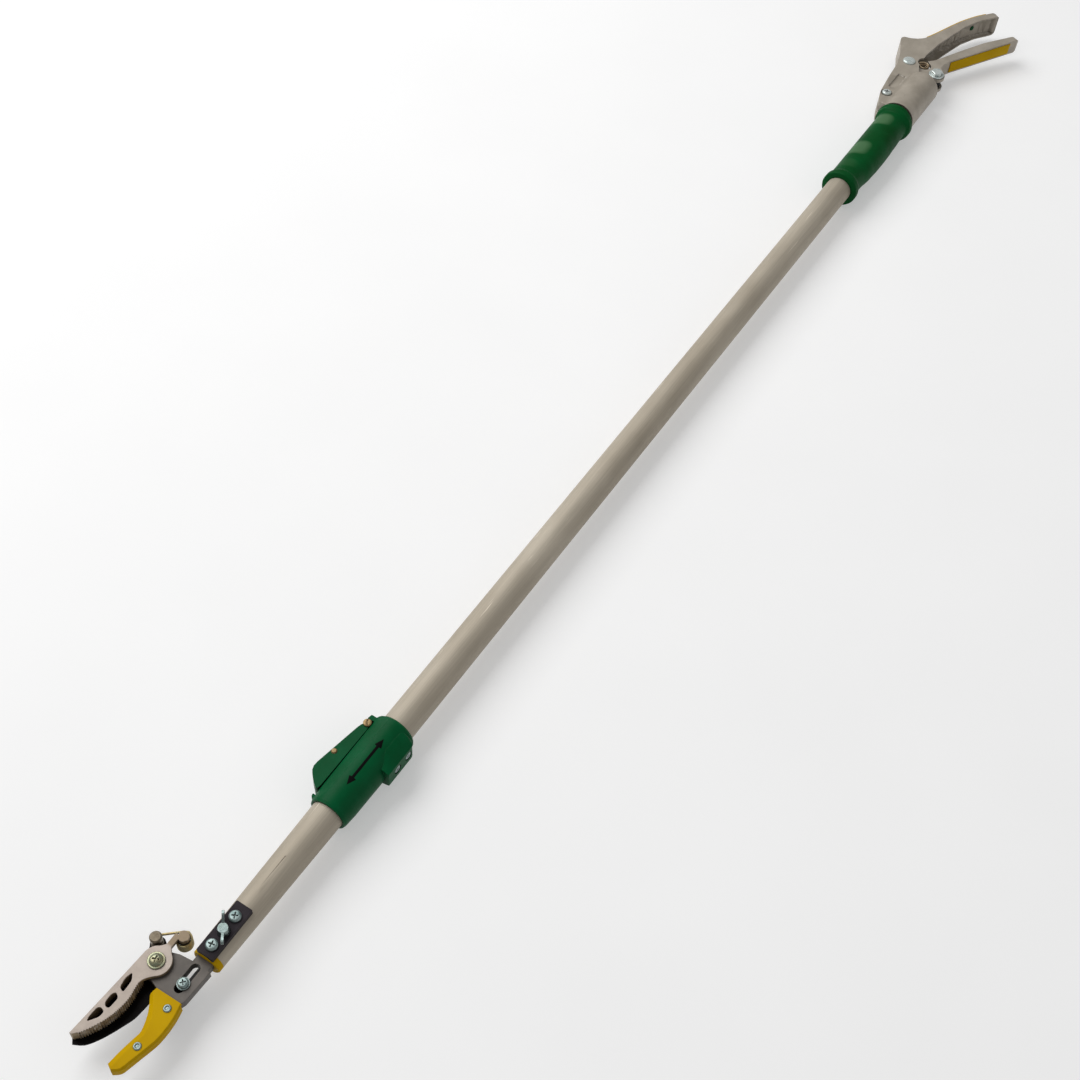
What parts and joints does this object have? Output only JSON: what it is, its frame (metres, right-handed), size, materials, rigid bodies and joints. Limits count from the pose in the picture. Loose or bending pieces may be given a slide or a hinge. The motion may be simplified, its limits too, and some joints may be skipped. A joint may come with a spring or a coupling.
{
  "type": "telescopic tree pruner pole",
  "caption": "Telescopic pole pruner with a squeeze handle, a cam-locked sliding tube and a bypass cutting head with a toothed hold plate.",
  "frame": {"origin": "on the pole's axis, at the middle of the bare outer tube", "axes": "+X along the pole toward the cutting head, +Y in the blade's plane toward the squeeze lever and the hook, +Z square to the blade"},
  "size_m": [1.4648, 0.109, 0.0397],
  "materials": {
    "tube_aluminium": "satin drawn tube",
    "green_rubber": "moulded rubber",
    "green_plastic": "moulded plastic",
    "handle_cast": "die-cast, silver paint",
    "head_cast": "die-cast, grey",
    "hold_cast": "die-cast, light grey",
    "yellow_plastic": "moulded plastic",
    "zinc_steel": "zinc plated",
    "yellow_zinc": "yellow zinc plated",
    "black_steel": "black coated steel",
    "spring_steel": "bare steel",
    "brass": "turned",
    "nylon": "moulded nylon",
    "rod_steel": "drawn"
  },
  "bodies": {
    "pole": {"outer_tube": "tube_aluminium", "grip": "green_rubber", "handle_body": "handle_cast", "fixed_insert": "yellow_plastic", "tip_stud": "green_plastic", "clamp_screw": "zinc_steel", "lever_rivet": "zinc_steel", "coupling_sleeve": "green_plastic", "sleeve_screws": "zinc_steel", "lock_pin": "yellow_zinc", "lower_guide_bush": "nylon", "rod_guide_disc": "nylon"},
    "lever": {"squeeze_lever": "handle_cast", "lever_insert": "yellow_plastic", "return_spring": "spring_steel"},
    "drive_rod": {"drive_tube": "rod_steel", "rod_clevis": "black_steel", "rod_bolt": "zinc_steel", "rod_nut": "zinc_steel", "rod_collet": "brass"},
    "lock": {"lock_lever": "green_plastic", "lever_stud": "yellow_zinc"},
    "pad": {"lock_pad": "brass"},
    "extension": {"inner_tube": "tube_aluminium", "upper_guide_bush": "nylon", "pull_rod_guide": "nylon", "head_tube": "tube_aluminium", "tube_rivets": "zinc_steel", "tube_end_cap": "yellow_plastic", "head_body": "head_cast", "hook_cover": "yellow_plastic", "cover_rivets": "zinc_steel", "saw_plate": "black_steel", "plate_screws": "zinc_steel", "pivot_bolt": "yellow_zinc", "pivot_nut": "yellow_zinc"},
    "wing": {"wing_screw": "zinc_steel"},
    "pull": {"pull_rod": "rod_steel", "rod_strap": "rod_steel"},
    "blade": {"blade": "black_steel", "blade_pin": "zinc_steel", "spring_post": "spring_steel"},
    "holder": {"hold_plate": "hold_cast", "hold_spring": "yellow_zinc"}
  },
  "joints": [
    {"name": "telescope", "type": "slide", "parent": "pole", "child": "extension", "axis": [1, 0, 0], "range_m": [0, 0.65]},
    {"name": "squeeze", "type": "hinge", "parent": "pole", "child": "lever", "pos_m": [-0.622, -0.0265, 0], "axis": [0, 0, 1], "range_deg": [0, 15.8], "stiffness_Nm_per_rad": 2, "springref_deg": -11.46},
    {"name": "drive_rod_pull", "type": "slide", "parent": "pole", "child": "drive_rod", "axis": [1, 0, 0], "range_m": [-0.0095, 0]},
    {"name": "pull_rod_pull", "type": "slide", "parent": "extension", "child": "pull", "axis": [1, 0, 0], "range_m": [-0.0095, 0]},
    {"name": "blade_cut", "type": "hinge", "parent": "extension", "child": "blade", "pos_m": [0.621, -0.025, 0], "axis": [0, 0, 1], "range_deg": [0, 22.5]},
    {"name": "holder_give", "type": "hinge", "parent": "blade", "child": "holder", "pos_m": [0.621, -0.025, 0], "axis": [0, 0, 1], "range_deg": [-9, 0], "stiffness_Nm_per_rad": 1.5, "springref_deg": 11.46},
    {"name": "lock_flip", "type": "hinge", "parent": "pole", "child": "lock", "pos_m": [0.397, -0.0182, 0], "axis": [0, 0, 1], "range_deg": [-75, 0]},
    {"name": "pad_press", "type": "slide", "parent": "pole", "child": "pad", "axis": [0, -1, 0], "range_m": [0, 0.0006]},
    {"name": "wing_turn", "type": "hinge", "parent": "extension", "child": "wing", "pos_m": [0.582, 0, 0], "axis": [0, 0, 1], "continuous": true}
  ],
  "couplings": [
    {"joint": "drive_rod_pull", "follows": "squeeze", "m_per_rad": -0.0336},
    {"joint": "pull_rod_pull", "follows": "squeeze", "m_per_rad": -0.0336},
    {"joint": "blade_cut", "follows": "squeeze", "ratio": 1.4},
    {"joint": "pad_press", "follows": "lock_flip", "m_per_rad": -0.00038}
  ]
}
